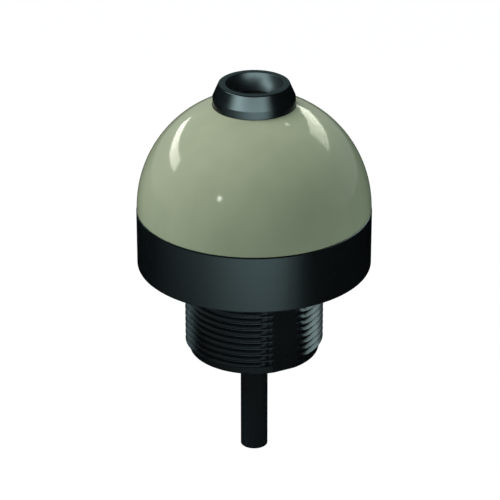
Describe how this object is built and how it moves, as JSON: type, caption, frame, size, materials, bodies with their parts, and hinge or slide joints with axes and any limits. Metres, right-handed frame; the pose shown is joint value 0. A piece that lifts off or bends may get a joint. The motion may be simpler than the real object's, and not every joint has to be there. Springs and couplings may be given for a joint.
{
  "type": "domed position sensor",
  "caption": "Panel-mounted position sensor: black ring with a threaded stem, glossy khaki dome, dished black nose and a short cable.",
  "frame": {"origin": "on the axis, at the underside of the ring where it seats on a panel", "axes": "+Z along the axis from the stem to the dome; -Z is the way the thread goes through the panel; +X to the right with the first flat of the stem turned 26 degrees from -Y"},
  "size_m": [0.05, 0.05, 0.0857],
  "materials": {
    "housing_black": "satin moulded",
    "dome_khaki": "glossy moulded",
    "nose_black": "satin moulded",
    "seal_rubber": "moulded",
    "nylon_natural": "moulded",
    "sleeve_rubber": "moulded",
    "can_metal": "black lacquer on the face",
    "piezo_ceramic": "silvered",
    "backing_silicone": "cast",
    "lead_wire": "extruded",
    "board_green": "solder resist",
    "screw_steel": "plain",
    "lamp_white": "moulded",
    "chip_black": "moulded",
    "ferrite_grey": "sintered",
    "capacitor_can": "drawn",
    "connector_white": "moulded",
    "header_black": "moulded",
    "pin_gold": "plated",
    "plug_black": "moulded",
    "crimp_metal": "plain",
    "jacket_black": "extruded",
    "conductor_insulation": "extruded"
  },
  "bodies": {
    "root": {"base_housing": "housing_black", "dome": "dome_khaki", "sensing_nose": "nose_black", "dome_seal": "seal_rubber", "nose_seal": "seal_rubber", "plug_seal": "seal_rubber", "nose_nut": "nylon_natural", "transducer_sleeve": "sleeve_rubber", "transducer_can": "can_metal", "piezo_disc": "piezo_ceramic", "transducer_backing": "backing_silicone", "transducer_leads": "lead_wire", "main_board": "board_green", "power_board": "board_green", "board_screws": "screw_steel", "status_lights": "lamp_white", "microcontroller": "chip_black", "pulse_transformer": "ferrite_grey", "supply_choke": "ferrite_grey", "reservoir_capacitors": "capacitor_can", "filter_capacitor": "capacitor_can", "cable_connector": "connector_white", "board_header": "header_black", "header_pins": "pin_gold", "end_plug": "plug_black", "crimp_ring": "crimp_metal", "cable_jacket": "jacket_black", "conductors": "conductor_insulation"}
  },
  "joints": []
}
